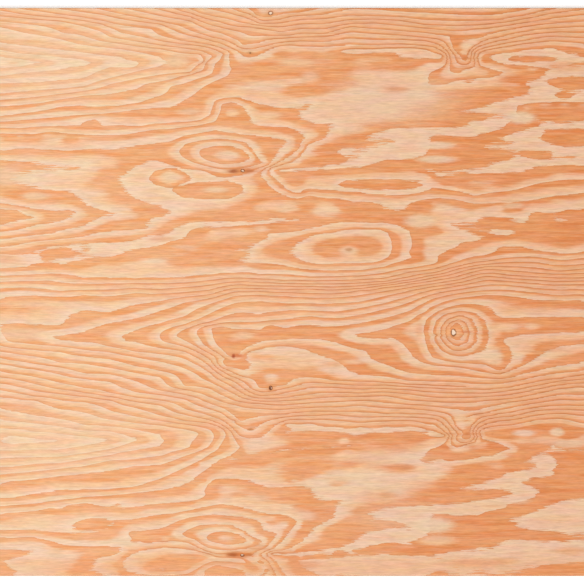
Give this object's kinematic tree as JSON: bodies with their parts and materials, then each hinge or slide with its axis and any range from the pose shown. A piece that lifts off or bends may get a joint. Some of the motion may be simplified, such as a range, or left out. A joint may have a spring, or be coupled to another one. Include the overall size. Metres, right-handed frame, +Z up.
{
  "type": "plywood sheet",
  "caption": "Flat rectangular sheet of softwood plywood, with cross-laminated plies and a knotty peeled face veneer, for sheathing, flooring and joinery.",
  "frame": {"origin": "middle of the underside, where the sheet rests on the floor", "axes": "+X along the sheet's length and the grain of the face, +Y across its width, +Z up out of the face"},
  "size_m": [2.44, 1.22, 0.018],
  "materials": {
    "face_veneer": "sanded, unsealed peeled softwood veneer with orange growth rings",
    "back_veneer": "sanded, unsealed peeled softwood veneer",
    "long_grain_ply": "sawn edge, side grain on the long edges and end grain on the short ones",
    "cross_grain_ply": "sawn edge, end grain on the long edges and side grain on the short ones"
  },
  "bodies": {
    "root": {"face_veneer": "face_veneer", "upper_crossband": "cross_grain_ply", "upper_long_ply": "long_grain_ply", "core_ply": "cross_grain_ply", "lower_long_ply": "long_grain_ply", "lower_crossband": "cross_grain_ply", "back_veneer": "back_veneer"}
  },
  "joints": []
}
